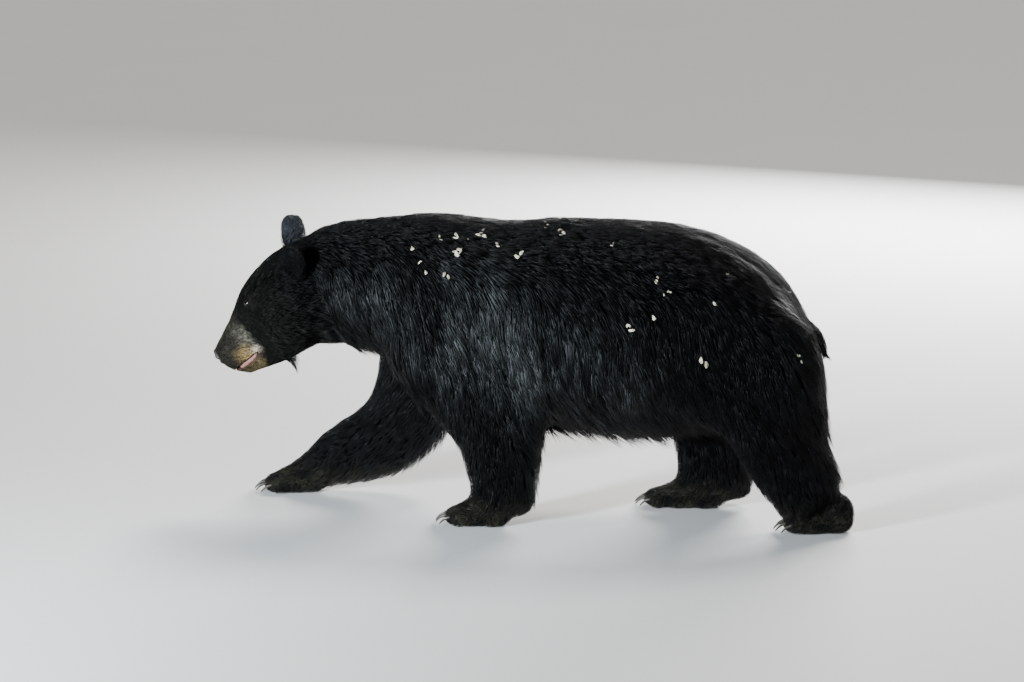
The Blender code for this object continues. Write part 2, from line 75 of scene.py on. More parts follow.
# The mouth's line: s and t of its front and of where it turns up, and how sharply it does
MOUTH_LINE = ((-0.004, -0.0595), (0.066, -0.0575))
MOUTH_UPTURN = 5
MOUTH_GAPE = 0.0072  # half the opening where it is widest
MOUTH_WIDEST = (0.062, 0.04)  # s of that place, and how far from it the lips meet
MOUTH_CLOSED = 0.0014  # half the slit before it
MOUTH_DEPTH = 0.013
MOUTH_CORNER = 0.106  # s


def box_middle(name):
    low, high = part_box(name)
    return (Vector(low) + Vector(high)) / 2


EYES = {side: box_middle("eye_" + side) for side in ("left", "right")}
NOSE_TIP = (EYES["left"] + EYES["right"]) / 2 - HEAD_TURN @ EYES_FROM_NOSE
HEAD_PLACE = Matrix.Translation(NOSE_TIP) @ HEAD_TURN.to_4x4()
TO_HEAD = HEAD_PLACE.inverted()
HEAD_AXES = np.array(HEAD_TURN)


# ---------------- fields over points, one point a row


def to_head(points):
    """Points in the head's own s, y, t."""
    return (points - np.array(NOSE_TIP)) @ HEAD_AXES


def distances(points, middle):
    return np.linalg.norm(points - np.array(middle), axis=1)


def rise(low, high, values):
    """A smooth rise from 0 at low to 1 at high."""
    u = np.clip((values - low) / (high - low), 0, 1)
    return u * u * (3 - 2 * u)


def fall(low, high, values):
    return 1 - rise(low, high, values)


def bell(values, middle, width):
    """1 at the middle, falling smoothly to both sides."""
    return np.exp(-(((values - middle) / width) ** 2))


def spot(values, middle, radius):
    """1 at the middle of an oval patch, 0 beyond its edge. Arguments have one entry an axis."""
    distance = sum(((v - m) / r) ** 2 for v, m, r in zip(values, middle, radius))
    return fall(0.35, 1, distance)


def unit(vectors):
    return vectors / np.maximum(np.linalg.norm(vectors, axis=1, keepdims=True), 1e-9)


def flat_to(vectors, normals):
    """The part of each vector that lies along the surface, at length 1."""
    return unit(vectors - normals * (vectors * normals).sum(1, keepdims=True))


def ripple(points, size, seed):
    """A smooth random field from -1 to 1 whose waves are about this long."""
    rng = np.random.default_rng(seed)
    total = np.zeros(len(points))
    for _ in range(7):
        wave = rng.normal(size=3)
        wave *= tau / (size * np.linalg.norm(wave) * rng.uniform(0.7, 1.6))
        total += np.sin(points @ wave + rng.uniform(0, tau))
    return total / 3.2


def averaged(values, pairs, rounds, share=0.5):
    """Each vertex's values drawn towards its neighbours' mean, so many times over."""
    count = len(values)
    one, two = pairs.T
    links = np.maximum(np.bincount(pairs.ravel(), minlength=count), 1)
    table = values.reshape(count, -1).copy()
    if np.ndim(share):
        share = share[:, None]
    for _ in range(rounds):
        means = np.empty_like(table)
        for k, column in enumerate(table.T):
            total = np.bincount(one, weights=column[two], minlength=count)
            total += np.bincount(two, weights=column[one], minlength=count)
            means[:, k] = total / links
        table += (means - table) * share
    return table.reshape(values.shape)


def belongs(labels, *names):
    """Which labels, indices in FLESH, are these parts'."""
    return np.isin(labels, [FLESH.index(name) for name in names])


# ---------------- meshes


def cad_mesh(name):
    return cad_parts[name].data


def new_object(name, data):
    made = bpy.data.objects.new(name, data)
    bpy.context.scene.collection.objects.link(made)
    return made


def from_bmesh(name, made, smooth=False):
    """A new object; a smooth one also has its faces turned outwards."""
    if smooth:
        bmesh.ops.recalc_face_normals(made, faces=made.faces)
    mesh = bpy.data.meshes.new(name)
    made.to_mesh(mesh)
    made.free()
    if smooth:
        mesh.shade_smooth()
    return new_object(name, mesh)


def node_bmesh(names):
    """Copies of CAD nodes, with their doubled vertices welded."""
    made = bmesh.new()
    for name in names:
        made.from_mesh(cad_mesh(name))
    bmesh.ops.remove_doubles(made, verts=made.verts, dist=0.00001)
    return made


def add_hull(made, points):
    hull = bmesh.ops.convex_hull(made, input=[made.verts.new(point) for point in points])
    loose = [v for v in hull["geom_interior"] if isinstance(v, bmesh.types.BMVert)]
    bmesh.ops.delete(made, geom=loose, context="VERTS")


def modified(obj, kind, **settings):
    modifier = obj.modifiers.new(kind.title(), kind)
    for name, value in settings.items():
        setattr(modifier, name, value)
    bpy.context.view_layer.update()
    graph = bpy.context.evaluated_depsgraph_get()
    mesh = bpy.data.meshes.new_from_object(obj.evaluated_get(graph))
    obj.modifiers.clear()
    obj.data = mesh


def remeshed(name, names, voxel, smoothing, filled=True):
    """CAD nodes run together into one even skin."""
    made = node_bmesh(names)
    if filled:
        add_fillings(made)
    obj = from_bmesh(name, made)
    modified(obj, "REMESH", mode="VOXEL", voxel_size=voxel)
    modified(obj, "SMOOTH", factor=0.5, iterations=smoothing)
    return obj


def rows_of(items, name, width, kind=np.float32):
    """One property of a mesh's items, one item a row."""
    found = np.empty(len(items) * width, dtype=kind)
    items.foreach_get(name, found)
    return found.reshape(-1, width)


def coordinates(mesh):
    return rows_of(mesh.vertices, "co", 3).astype(np.float64)


def vertex_normals(mesh):
    return rows_of(mesh.vertex_normals, "vector", 3).astype(np.float64)


def fill(items, name, values, kind=np.float32):
    items.foreach_set(name, values.astype(kind).ravel())


def set_coordinates(mesh, points):
    fill(mesh.vertices, "co", points)
    mesh.update()


def set_field(mesh, name, values):
    """A point attribute that the materials read: numbers, or rows of colours."""
    kind, key = "FLOAT", "value"
    if values.ndim == 2:
        kind, key = "FLOAT_COLOR", "color"
        values = np.column_stack((values, np.ones(len(values))))
    fill(mesh.attributes.new(name, kind, "POINT").data, key, values)


def surface_tree(mesh, points=None):
    """A mesh's faces for searches, on its own vertices or others."""
    points = coordinates(mesh) if points is None else points
    return BVHTree.FromPolygons(points.tolist(), [tuple(face.vertices) for face in mesh.polygons])


def finish_piece(obj, material, slot, *nodes):
    """Gives a piece its material and body, and hides the nodes it stands for; slot is not used."""
    obj.data.materials.clear()
    obj.data.materials.append(material)
    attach(obj, "root")
    if nodes:
        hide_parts(*nodes)


# ---------------- colours

BLACK_HAIR = (0.0032, 0.0034, 0.0037)
FACE_HAIR = (0.0052, 0.0052, 0.0046)
MUZZLE_DARK = (0.015, 0.014, 0.011)
MUZZLE_GREY = (0.125, 0.116, 0.094)
BRIDGE_BROWN = (0.034, 0.027, 0.015)
LIP_TAN = (0.205, 0.14, 0.06)
LIP_PALE = (0.46, 0.39, 0.3)
CHIN_BROWN = (0.095, 0.075, 0.036)
LIP_DARK = (0.04, 0.024, 0.018)
MOUTH_PINK = (0.12, 0.0575, 0.0475)
# The grey of painted sky light on the backs of the ears
EAR_SKYLIGHT_GREY = (0.042, 0.046, 0.054)
# The grey of the painted sheen on neck, shoulder and ribs
PAINTED_SHEEN_GREY = (0.043, 0.047, 0.049)
PAD_DARK = (0.014, 0.012, 0.011)
LID_BLACK = (0.0021, 0.0018, 0.00165)
PAW_DUST = (0.02, 0.019, 0.013)

# The way each ear opens in the head's frame, and how strongly painted sky light greys its back
EAR_SKYLIGHT_SHARES = {"ear_left": ((-0.45, -1, 0), 0.25), "ear_right": ((-0.75, 0.75, 0), 1)}


def painted(colours, *layers):
    """The colours under layers, each a colour and its share at each point."""
    for colour, share in layers:
        colours = colours + (np.array(colour) - colours) * share[:, None]
    return colours


def mouth_height(s):
    """t of the mouth's line at s."""
    (s0, t0), (s1, t1) = MOUTH_LINE
    return t0 + (t1 - t0) * (s - s0) / (s1 - s0) + MOUTH_UPTURN * np.maximum(s - s1, 0) ** 2


def on_head(points):
    """Whether each point is on the head and not on a paw below it."""
    return (points[:, 0] < HEAD_ZONE[0]) & (points[:, 2] > HEAD_ZONE[1])


def painted_ear_skylight(points):
    """The share of painted sky light that greys the backs of the ears."""
    found = np.zeros(len(points))
    for ear, (opening, strength) in EAR_SKYLIGHT_SHARES.items():
        middle = box_middle(ear)
        out = (points - np.array(middle)) @ np.array((HEAD_TURN @ Vector(opening)).normalized())
        near = fall(0.036, 0.052, distances(points, middle))
        found = np.maximum(found, strength * near * rise(0.002, -0.006, out))
    return found


def painted_flank_sheen(points):
    """The share of painted grey sheen on neck, shoulder and ribs, in streaks along the hair."""
    x, y, z = points.T
    tall = np.interp(x, (-0.4, -0.13, 0.13), (0.06, 0.14, 0.115))
    share = bell(z, 0.445 - 0.3 * x, tall) * rise(0.08, 0.13, np.abs(y))
    share *= rise(-0.52, -0.44, x) * fall(0.12, 0.38, x)
    share *= 0.62 + 0.38 * rise(-0.36, -0.2, x)
    along = x + 0.3 * z
    streaks = 0.38 + 0.45 * ripple(np.column_stack((along, 0.3 * y, 0.07 * z)), 0.022, 14)
    streaks += 0.32 * ripple(np.column_stack((along, 0.3 * y, 0.06 * z)), 0.008, 16)
    streaks += 0.36 * ripple(np.column_stack((x, y, 0.4 * z)), 0.11, 15)
    streaks += 0.75 * bell(x, -0.045 - 0.28 * (z - 0.46), 0.034)  # a painted bright ridge of sheen behind the shoulder
    return share * np.clip(streaks, 0, 1.5)


def hair_colours(points):
    """The coat's colours: black, with a grey-brown muzzle and a tan upper lip, painted sheen on the
    flanks and painted sky light on the backs of the ears.
    """
    s, y, t = to_head(points).T
    across = np.abs(y)
    wander = 0.004 * ripple(points, 0.02, 5) + 0.002 * ripple(points, 0.006, 6)
    edge = MUZZLE_END - 0.2 * np.maximum(t - 0.006, 0) - 0.6 * np.maximum(-0.055 - t, 0) + wander
    muzzle = fall(edge - 0.016, edge + 0.006, s) * on_head(points)
    face = fall(0.2, 0.34, s) * on_head(points)
    s, t = s + 0.8 * wander, t - 0.8 * wander
    side = rise(0.052, 0.112, s) * bell(t, -0.004, 0.032) * rise(0.008, 0.036, across)
    side *= 1 + 0.25 * ripple(points, 0.01, 17)
    bridge = fall(0.01, 0.022, across) * rise(-0.01, 0.006, t)
    beside = rise(0.01, 0.02, across)
    tan = bell(s, 0.072, 0.022) * bell(t, -0.038, 0.019) * beside * (1 + 0.3 * ripple(points, 0.009, 7))
    pale = bell(s, 0.101, 0.016) * bell(t, -0.041, 0.01) * beside
    chin = rise(-0.062, -0.07, t) * rise(0.024, 0.05, s)
    dust = rise(0.11, 0.05, points[:, 2]) * (0.55 + 0.45 * ripple(points, 0.04, 12))
    colours = painted(
        np.tile(BLACK_HAIR, (len(points), 1)),
        (FACE_HAIR, face),
        (MUZZLE_DARK, muzzle),
        (MUZZLE_GREY, np.clip(side, 0, 1) * muzzle),
        (BRIDGE_BROWN, bridge * muzzle),
        (LIP_TAN, np.clip(tan, 0, 1) * muzzle),
        (LIP_PALE, 0.9 * pale * muzzle),
        (CHIN_BROWN, 0.9 * chin * muzzle),
        # painted sky light on the backs of the ears
        (EAR_SKYLIGHT_GREY, 0.8 * painted_ear_skylight(points)),
        # painted sheen on neck, shoulder and ribs
        (PAINTED_SHEEN_GREY, painted_flank_sheen(points)),
        (PAW_DUST, 0.8 * np.clip(dust, 0, 1)),
    )
    grain = 1 + 0.22 * ripple(points, 0.012, 8) + 0.1 * ripple(points, 0.05, 9)
    return colours * np.clip(grain, 0.5, 1.6)[:, None]


# ---------------- materials


class Finish:
    """A Principled material, and short ways to add its nodes."""

    def __init__(self, name, roughness, specular):
        self.material = bpy.data.materials.new(name)
        self.material.use_nodes = True
        self.nodes = self.material.node_tree.nodes
        self.shader = self.nodes["Principled BSDF"]
        self.feed(self.shader, {"Roughness": roughness, "Specular IOR Level": specular})

    def feed(self, node, inputs):
        """Sets a node's inputs, or links them where outputs are given."""
        for name, value in inputs.items():
            if isinstance(value, bpy.types.NodeSocket):
                self.material.node_tree.links.new(value, node.inputs[name])
            else:
                node.inputs[name].default_value = value

    def node(self, kind, inputs, output, **settings):
        made = self.nodes.new("ShaderNode" + kind)
        for name, value in settings.items():
            setattr(made, name, value)
        self.feed(made, inputs)
        return made.outputs[output]

    def field(self, name, output="Fac"):
        return self.node("Attribute", {}, output, attribute_name=name)

    def noise(self, scale, detail=3, stretch=None, where=None):
        if where is None:
            where = self.node("TexCoord", {}, "Object")
        if stretch:
            where = self.node("Mapping", {"Vector": where, "Scale": stretch}, "Vector")
        return self.node("TexNoise", {"Vector": where, "Scale": scale, "Detail": detail}, "Fac")

    def ranged(self, value, low, high, from_low=0.3, from_high=0.7):
        """Maps a noise's middle range, or another, onto low to high."""
        ends = {"From Min": from_low, "From Max": from_high, "To Min": low, "To Max": high}
        return self.node("MapRange", {"Value": value, **ends}, "Result")

    def tones(self, dark, light, noise, *span):
        """Between two colours, by a noise."""
        inputs = {"A": (*dark, 1), "B": (*light, 1), "Factor": self.ranged(noise, 0, 1, *span)}
        return self.node("Mix", inputs, "Result", data_type="RGBA")

    def scaled(self, colour, value):
        return self.node("VectorMath", {0: colour, "Scale": value}, "Vector", operation="SCALE")

    def colour(self, socket):
        self.feed(self.shader, {"Base Color": socket})

    def bump(self, height, strength, distance):
        inputs = {"Height": height, "Strength": strength, "Distance": distance}
        self.feed(self.shader, {"Normal": self.node("Bump", inputs, "Normal")})


def hair_material(name, roughness, specular):
    """The painted colour, varied from place to place, with fine strands as bump."""
    made = Finish(name, roughness, specular)
    made.feed(made.shader, {"IOR": 1.5})
    made.colour(made.scaled(made.field("tint", "Color"), made.ranged(made.noise(9, 2), 0.8, 1.25)))
    strands = made.node("UVMap", {}, "UV", uv_map="strand")
    fine = made.noise(1, 1, (6, 1, 1), strands)
    made.bump(fine, 0.45, 0.0009)
    made.feed(made.shader, {"Roughness": made.ranged(fine, roughness - 0.06, roughness + 0.12)})
    return made.material


def skin_painted_shade_material():
    """The coat's own colours, darkened as painted shade under the hair, with short hairs as bump."""
    made = Finish("bear_skin", 0.62, 0.035)
    # the darker range paints the shade under the hair
    made.colour(made.scaled(made.field("tint", "Color"), made.ranged(made.noise(60, 4), 0.55, 1)))
    made.bump(made.noise(900, 3, (0.35, 1, 0.55)), 0.6, 0.0009)
    made.feed(made.shader, {"Roughness": made.ranged(made.field("wet"), 0.62, 0.3, 0, 1)})
    return made.material


def nose_material():
    """Pebbled black leather, with painted shade in the nostrils, their slits and the middle groove."""
    made = Finish("nose_leather", 0.42, 0.28)
    where = made.node("TexCoord", {}, "Object")
    cells = made.node("TexVoronoi", {"Vector": where, "Scale": 560}, "Distance")
    made.bump(cells, 0.7, 0.0007)
    tone = made.tones((0.009, 0.008, 0.008), (0.034, 0.028, 0.027), made.noise(90))
    # painted shade in the nostrils, slits and groove
    made.colour(made.scaled(tone, made.ranged(made.field("nostril_shade"), 1, 0.08, 0.1, 0.8)))
    return made.material


def claw_material():
    """Dark horn with paler, rougher streaks along it."""
    made = Finish("claw_horn", 0.38, 0.35)
    streaks = made.noise(240, 3, (0.25, 1, 0.6))
    made.colour(made.tones((0.02, 0.016, 0.013), (0.05, 0.042, 0.033), streaks))
    made.feed(made.shader, {"Roughness": made.ranged(streaks, 0.3, 0.5)})
    made.bump(streaks, 0.3, 0.0003)
    return made.material


# The eye's colours from the middle of the pupil, at 0, to the ball's equator, at 1
EYE_COLOURS = (
    (0, (0.001, 0.001, 0.001)),
    (0.24, (0.001, 0.001, 0.001)),
    (0.3, (0.012, 0.006, 0.003)),
    (0.5, (0.019, 0.009, 0.004)),
    (0.6, (0.003, 0.002, 0.002)),
    (0.8, (0.004, 0.003, 0.003)),
    (1, (0.005, 0.004, 0.004)),
)


def eye_material():
    """A dark brown iris round a black pupil, under a wet surface."""
    made = Finish("eye_wet", 0.1, 0.25)
    made.feed(made.shader, {"Coat Weight": 0.25, "Coat Roughness": 0.02})
    fibres = made.ranged(made.noise(900, 2), -0.03, 0.03)
    place = made.node("Math", {0: made.field("from_axis"), 1: fibres}, "Value", operation="ADD")
    colour = made.node("ValToRGB", {"Fac": place}, "Color")
    stops = colour.node.color_ramp.elements
    for position, tone in EYE_COLOURS:
        stop = stops.new(position) if 0 < position < 1 else stops[-1 if position else 0]
        stop.color = (*tone, 1)
    made.colour(colour)
    return made.material


def moist_material(name, dark, light, roughness, specular):
    """Bare wrinkled skin between two tones."""
    made = Finish(name, roughness, specular)
    made.colour(made.tones(dark, light, made.noise(160)))
    made.bump(made.noise(960, 4), 0.4, 0.0004)
    return made.material


def fleck_material():
    made = Finish("dry_fleck", 0.8, 0.3)
    tone = made.noise(140)
    made.colour(made.tones((0.3, 0.25, 0.17), (0.74, 0.69, 0.57), tone))
    made.bump(tone, 0.5, 0.0006)
    return made.material


def floor_material():
    made = Finish("pale_floor", 0.75, 0.2)
    made.colour(made.tones((0.82, 0.81, 0.79), (0.85, 0.84, 0.82), made.noise(2), 0, 1))
    return made.material


# ---------------- skin

SKIN_VOXEL = 0.0078
FACE_VOXEL = 0.002
SKIN_FLOOR = 0.0004  # the lowest that the skin may reach
DEEPEST = 0.033  # the most that it may lie inside the solids
BODY_EVENING = 0.5  # how strongly the CAD's facets are smoothed on the body
CRISP_EVENING = 0.03  # and on head, ears, paws and tail
NOSE_ROOM = 0.013  # how far the skin draws back behind the nose pad

# What grows on each part: the coat's depth, the tufts' length and width in millimetres, how many
# thousands there are to a square metre, and how freely they hang
GROWTH = {
    "head": (7, 22, 1.8, 110, 0.05),
    "jaw": (3, 10, 1.3, 150, 0.05),
    "neck": (15, 64, 2.4, 50, 0.1),
    "trunk": (15, 72, 2.5, 44, 0.09),
    "tail": (6, 44, 2.4, 60, 0.14),
    "ear": (2.4, 12, 1.5, 150, 0.1),
    "foreleg": (11, 48, 2.3, 50, 0.12),
    "hindleg": (12, 54, 2.4, 50, 0.12),
    "forepaw": (3.4, 13, 1.6, 95, 0.08),
    "hindpaw": (3.6, 14, 1.7, 90, 0.08),
}
GROWTH_UNITS = (0.001, 0.001, 0.001, 1000, 1)

# The way the hair lies on each part, before it is laid along the surface
LIE = {
    "head": HEAD_TURN @ Vector((1, 0, -0.35)),
    "jaw": HEAD_TURN @ Vector((1, 0, -0.45)),
    "neck": (0.4, 0, -1),
    "trunk": (0.3, 0, -1),
    "tail": (0.35, 0, -1),
    "ear_left": (0.15, -0.42, 1),
    "ear_right": (-0.12, 0.22, 1),
    "foreleg_left": (0.22, 0, -1),
    "foreleg_right": (-0.45, 0, -1),
    "hindleg_left": (0.4, 0, -1),
    "hindleg_right": (0.1, 0, -1),
    "forepaw_left": (-1, 0, -0.55),
    "forepaw_right": (-1, 0, -0.45),
    "hindpaw_left": (-1, 0, -0.7),
    "hindpaw_right": (-1, 0, -0.6),
}


def eye_frame(side):
    """An eye's own frame: X back along the lids, Y up and Z out of the eye."""
    sign = -1 if side == "left" else 1
    look = HEAD_TURN @ Vector((EYE_LOOK[0], sign * EYE_LOOK[1], EYE_LOOK[2])).normalized()
    back = HEAD_TURN @ Vector((1, 0, 0.1))
    back = (back - look * back.dot(look)).normalized()
    turn = Matrix((back, look.cross(back) * -sign, look)).transposed()
    return Matrix.Translation(EYES[side]) @ turn.to_4x4()


def in_eye_frame(points, side):
    place = np.array(eye_frame(side))
    return (points - place[:3, 3]) @ place[:3, :3]


def eye_openness(x, y):
    """1 along the lids' margin, less inside the opening and more outside it."""
    half, above, below = EYE_OPENING
    tall = np.where(y > 0, above, below) * np.sqrt(np.clip(1.12 - (x / (half * 1.25)) ** 2, 0.15, 1))
    return np.sqrt((x / half) ** 2 + (y / tall) ** 2)


def add_fillings(made):
    """Closes the CAD's mouth and eye hollows, which the skin forms more finely itself."""
    near = []
    for name in ("head", "jaw"):
        for vertex in cad_mesh(name).vertices:
            point = TO_HEAD @ vertex.co
            if abs(point.z - mouth_height(point.x)) < 0.013 and point.x < 0.125:
                near.append(point)
    for start in np.arange(-0.01, 0.105, 0.01):
        band = [HEAD_PLACE @ point for point in near if start - 0.007 < point.x < start + 0.017]
        if len(band) > 5:
            add_hull(made, band)
    for side in EYES:
        mound = eye_frame(side) @ Matrix.Diagonal((*EYE_MOUND, 1))
        bmesh.ops.create_icosphere(made, subdivisions=3, radius=1, matrix=mound)


def part_labels(points):
    """For each point, the index in FLESH of the CAD part whose surface is nearest."""
    corners, faces, owners = [], [], []
    for index, name in enumerate(FLESH):
        mesh = cad_mesh(name)
        start = len(corners)
        corners.extend(vertex.co for vertex in mesh.vertices)
        faces.extend([start + v for v in face.vertices] for face in mesh.polygons)
        owners.extend([index] * len(mesh.polygons))
    tree = BVHTree.FromPolygons(corners, faces)
    return np.array([owners[tree.find_nearest(Vector(point))[2]] for point in points])


def refine_face(mesh):
    """Splits the faces of the head, and lays the new vertices on the CAD's face."""
    fine = remeshed("fine_face", ("head", "jaw", "nose", *EARS), FACE_VOXEL, 4)
    tree = surface_tree(fine.data)
    bpy.data.objects.remove(fine)
    ears = [box_middle(name) for name in EARS]
    made = bmesh.new()
    made.from_mesh(mesh)

    def on_front(point, reach):
        return (TO_HEAD @ point).x < reach and point.x < HEAD_ZONE[0] and point.z > HEAD_ZONE[1]

    def near(point, middles, reach):
        return min((point - middle).length for middle in middles) < reach

    def by_mouth(point):
        place = TO_HEAD @ point
        return on_front(point, 0.118) and abs(place.z - mouth_height(place.x)) < 0.0095

    eyes = EYES.values()
    tests = (
        lambda point: on_front(point, 0.215) or near(point, ears, 0.058),
        lambda point: on_front(point, 0.128) or near(point, eyes, 0.034),
        lambda point: by_mouth(point) or near(point, eyes, 0.021),
    )
    for test in tests:
        edges = [edge for edge in made.edges if test((edge.verts[0].co + edge.verts[1].co) / 2)]
        bmesh.ops.subdivide_edges(made, edges=edges, cuts=1, use_grid_fill=True)
    behind, blend = 0.2, 0.02  # the new places fade out towards the neck
    for vertex in made.verts:
        by_ear = near(vertex.co, ears, 0.055)
        if by_ear or on_front(vertex.co, behind):
            place, _, _, distance = tree.find_nearest(vertex.co)
            if distance < SKIN_VOXEL:
                share = 1 if by_ear else min(1, (behind - (TO_HEAD @ vertex.co).x) / blend)
                vertex.co = vertex.co.lerp(place, share)
    bmesh.ops.triangulate(made, faces=[face for face in made.faces if len(face.verts) > 4])
    made.to_mesh(mesh)
    made.free()


class Skin:
    """The one skin: its mesh as arrays, and what grows on each vertex.

    points and normals change as it is worked; outer keeps them on the solids' surface, and closed
    keeps them sunk, before mouth and eyes open.
    """

    def __init__(self):
        self.obj = remeshed("bear_skin", (*FLESH, "nose"), SKIN_VOXEL, 3)
        mesh = self.obj.data
        refine_face(mesh)
        self.points = coordinates(mesh)
        self.pairs = rows_of(mesh.edges, "vertices", 2, np.int32)
        self.labels = part_labels(self.points)
        self.soften()
        self.grow()
        self.sink()

    def mask(self, *names):
        return belongs(self.labels, *names)

    def soften(self):
        """Takes the CAD's facets out of the body without thinning it."""
        crisp = self.mask("head", "jaw", "tail", *EARS, *PAWS)
        share = averaged(np.where(crisp, CRISP_EVENING, BODY_EVENING), self.pairs, 6)
        smooth = averaged(self.points, self.pairs, 40, share)
        self.points = smooth + averaged(self.points - smooth, self.pairs, 24)
        self.place()

    def place(self):
        set_coordinates(self.obj.data, self.points)
        self.normals = vertex_normals(self.obj.data)

    def grow(self):
        """Fills the fields: depth, length, width, density, freedom, comb and hang."""
        growth = np.array([GROWTH[name.split("_")[0]] for name in FLESH]) * GROWTH_UNITS
        table = growth[self.labels]
        self.depth, self.length, self.width, self.density, self.free = table.T
        self.grow_head()
        comb = self.grow_body()
        table = averaged(table, self.pairs, 8)
        self.depth, self.length, self.width, self.density, self.free = table.T
        p, n = self.points, self.normals
        comb = averaged(comb, self.pairs, 20)
        across = np.cross(n, comb)
        swirl = 0.2 * ripple(p, 0.16, 21) + 0.12 * ripple(p, 0.05, 22)
        comb = flat_to(comb + across * swirl[:, None], n)
        for middle in EYES.values():
            share = fall(0.013, 0.026, distances(p, middle))
            comb = comb + flat_to(p - np.array(middle), n) * (1.6 * share)[:, None]
        self.comb = flat_to(comb, n)
        self.hang = averaged(self.hang, self.pairs, 10)

    def grow_head(self):
        """Hair is short at nose and eyes and long on the cheeks, with a wisp at the chin."""
        s, y, t = to_head(self.points).T
        head = self.mask("head", "jaw")
        cheek = rise(0.02, -0.06, t) * rise(0.12, 0.22, s)
        length = 0.005 + 0.006 * rise(0.02, 0.1, s)
        length += 0.022 * rise(0.1, 0.3, s) + 0.014 * cheek
        depth = 0.001 + 0.007 * rise(0.08, 0.26, s) + 0.004 * cheek
        width = 0.0009 + 0.0004 * rise(0.03, 0.11, s) + 0.0008 * rise(0.11, 0.3, s)
        density = 330000 - 170000 * rise(0.06, 0.13, s) - 85000 * rise(0.13, 0.27, s)
        fields = ((self.length, length, -0.55), (self.depth, depth, -0.65))
        fields += ((self.width, width, -0.4), (self.density, density, 0.8))
        for field, values, by_eye in fields:
            for middle in EYES.values():
                near = fall(0.014, 0.034, distances(self.points, middle))
                values = values * (1 + by_eye * near)
            field[head] = values[head]
        self.wisp = spot((s, y, t), (0.14, -0.02, -0.118), (0.013, 0.022, 0.02)) * head
        self.length += 0.022 * self.wisp
        self.free += 0.9 * self.wisp
        self.density *= 1 + 1.2 * self.wisp

    def grow_body(self):
        """Back, belly, throat and the backs of the legs differ from the flanks."""
        x, _, z = self.points.T
        ahead, _, up = self.normals.T
        trunk = self.mask("trunk", "neck")
        legs = self.mask(*LEGS)
        top = rise(0.25, 0.95, up) * trunk
        belly = rise(-0.15, -0.75, up) * self.mask("trunk")
        throat = rise(-0.1, -0.6, up) * self.mask("neck")
        rump = rise(0.4, 0.6, x) * trunk
        behind = rise(0.2, 0.8, ahead) * legs
        low = rise(0.26, 0.1, z) * legs
        high = rise(0.1, 0.5, x) * rise(0.1, 0.5, up) * trunk
        shin = rise(0.3, 0.14, z) * self.mask("foreleg_right")
        self.length *= 1 - 0.22 * top + 0.15 * belly + 0.1 * throat + 0.2 * behind - 0.38 * low
        self.depth *= 1 - 0.2 * top + 0.35 * belly + 0.15 * throat + 0.15 * behind - 0.35 * low
        self.width *= 1 - 0.2 * low
        self.free += 0.36 * belly + 0.22 * throat + 0.22 * behind + 0.06 * rump
        self.sunk = 1 - 0.38 * top + 0.8 * belly + 0.3 * throat - 0.22 * high
        comb = unit(np.array([tuple(LIE[name]) for name in FLESH]))[self.labels]
        comb += np.outer(top, (2.6, 0, 0)) + np.outer(belly, (0.35, 0, 0))
        comb += np.outer(rump, (0.25, 0, -0.1)) + np.outer(shin, (-0.75, 0, 0.25))
        hang = np.outer(behind, (0.55, 0, 0)) + np.outer(self.wisp, (-1, 0, -1.6))
        self.hang = unit(hang + (0.16, 0, -1))
        return unit(comb)

    def sink(self):
        """Lays the skin inside the solids by the depth of the coat, and works the face."""
        self.outer = self.points
        away = np.minimum(self.depth * averaged(self.sunk, self.pairs, 12), DEEPEST)
        body = rise(0.004, 0.012, self.depth)
        sunk = self.points - self.normals * away[:, None]
        self.points = averaged(sunk, self.pairs, 6, 0.5 * body)
        self.closed = self.points.copy()
        self.carve_face()
        self.open_mouth()
        self.open_eyes()
        self.sink_nose()
        self.points[:, 2] = np.maximum(self.points[:, 2], SKIN_FLOOR)
        self.place()

    def press(self, depth):
        """Moves each vertex in by its depth."""
        self.points -= self.normals * depth[:, None]

    def mouth_groove(self):
        """Half the mouth's opening, the distance from its line, and where it may open."""
        s, _, t = to_head(self.outer).T
        off = np.abs(t - mouth_height(s))
        widest, reach = MOUTH_WIDEST
        half = MOUTH_GAPE * np.sqrt(np.clip(1 - ((s - widest) / reach) ** 2, 0, 1))
        half = np.maximum(half, MOUTH_CLOSED * (s < widest))
        return half, off, (s < MOUTH_CORNER) & on_head(self.outer)

    def open_mouth(self):
        """Parts the lips, with a rounded edge along each."""
        half, off, near = self.mouth_groove()
        groove = fall(half * 0.7, half * 1.1 + 0.0004, off) * near * (half > 0)
        swell = bell(off, half + 0.002, 0.0017) * near
        self.press(MOUTH_DEPTH * groove * np.minimum(1, half / 0.0022) - 0.0008 * swell)

    def open_eyes(self):
        """Sinks the skin inside each eye's opening to behind the ball."""
        for side in EYES:
            x, y, z = in_eye_frame(self.points, side).T
            inside = (eye_openness(x, y) < 1.08) & (z > 0) & (np.hypot(x, y) < 0.02)
            ball = np.sqrt(np.maximum(EYE_RADIUS**2 - x**2 - y**2, 0))
            lower = np.where(inside, np.maximum(z - ball + 0.003, 0), 0)
            self.points -= np.outer(lower, np.array(eye_frame(side))[:3, 2])

    def sink_nose(self):
        """Leaves room behind the nose pad."""
        nose, head = (surface_tree(cad_mesh(name)) for name in ("nose", "head"))
        self.under_nose = np.zeros(len(self.points))  # how far each vertex is under the pad
        front = (to_head(self.outer)[:, 0] < 0.05) & on_head(self.outer)
        for i in np.nonzero(front)[0]:
            point = Vector(self.outer[i])
            if nose.find_nearest(point)[3] < 0.0012:
                self.under_nose[i] = head.find_nearest(point)[3]
        room = NOSE_ROOM * rise(0.0022, 0.0045, self.under_nose)
        self.points += np.outer(room, HEAD_AXES[:, 0])

